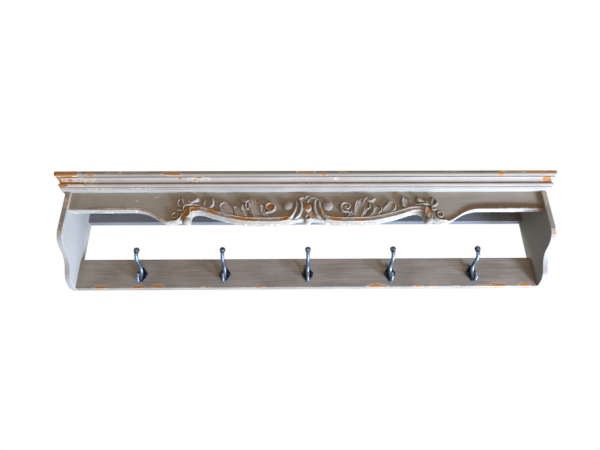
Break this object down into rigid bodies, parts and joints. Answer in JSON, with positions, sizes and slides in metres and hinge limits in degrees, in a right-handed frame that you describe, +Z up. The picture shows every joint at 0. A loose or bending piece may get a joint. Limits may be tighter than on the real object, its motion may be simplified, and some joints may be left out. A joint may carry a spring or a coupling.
{
  "type": "wall shelf with coat hooks",
  "caption": "Wall shelf with a moulded cornice, a carved and waved apron between shaped side brackets, an open back, and a lower rail of cast double coat hooks, in distressed grey paint.",
  "frame": {"origin": "on the wall plane at the back, midway between the round entries of the two keyhole hanger plates", "axes": "+X along the wall to the right as seen from the room, +Y into the wall, +Z up"},
  "size_m": [1.2164, 0.158, 0.2507],
  "materials": {
    "painted_wood": "matt grey-taupe paint, rubbed through at the edges",
    "painted_carving": "matt grey-taupe paint with brown glaze, rubbed to bare wood on the high parts",
    "hook_pewter": "pewter grey, satin, darkened in the hollows",
    "screw_steel": "blackened",
    "hanger_steel": "zinc plated",
    "beech_dowel": "bare, fluted by the maker but modelled plain",
    "bare_pine": "bare sawn"
  },
  "bodies": {
    "root": {"side_bracket_right": "painted_wood", "side_bracket_left": "painted_wood", "shelf_board": "painted_wood", "crown_moulding_front": "painted_wood", "bed_moulding_front": "painted_wood", "crown_moulding_return_right": "painted_wood", "crown_moulding_return_left": "painted_wood", "bed_moulding_return_right": "painted_wood", "bed_moulding_return_left": "painted_wood", "apron_board": "painted_wood", "cabochon": "painted_carving", "hanging_bud": "painted_carving", "crown_leaf": "painted_carving", "volute_boss_right": "painted_carving", "volute_boss_left": "painted_carving", "cartouche_ribs_right": "painted_carving", "cartouche_ribs_left": "painted_carving", "wave_moulding_right": "painted_carving", "wave_moulding_left": "painted_carving", "end_scroll_right": "painted_carving", "end_scroll_left": "painted_carving", "acanthus_spray_right": "painted_carving", "acanthus_spray_left": "painted_carving", "end_leaves_right": "painted_carving", "end_leaves_left": "painted_carving", "wave_leaves_right": "painted_carving", "wave_leaves_left": "painted_carving", "upper_back_rail": "painted_wood", "lower_hook_rail": "painted_wood", "coat_hook_1": "hook_pewter", "coat_hook_2": "hook_pewter", "coat_hook_3": "hook_pewter", "coat_hook_4": "hook_pewter", "coat_hook_5": "hook_pewter", "hook_screws": "screw_steel", "keyhole_plate_left": "hanger_steel", "keyhole_plate_right": "hanger_steel", "keyhole_screws": "hanger_steel", "rail_dowels": "beech_dowel", "apron_dowels": "beech_dowel", "shelf_dowels": "beech_dowel", "glue_blocks": "bare_pine"}
  },
  "joints": []
}
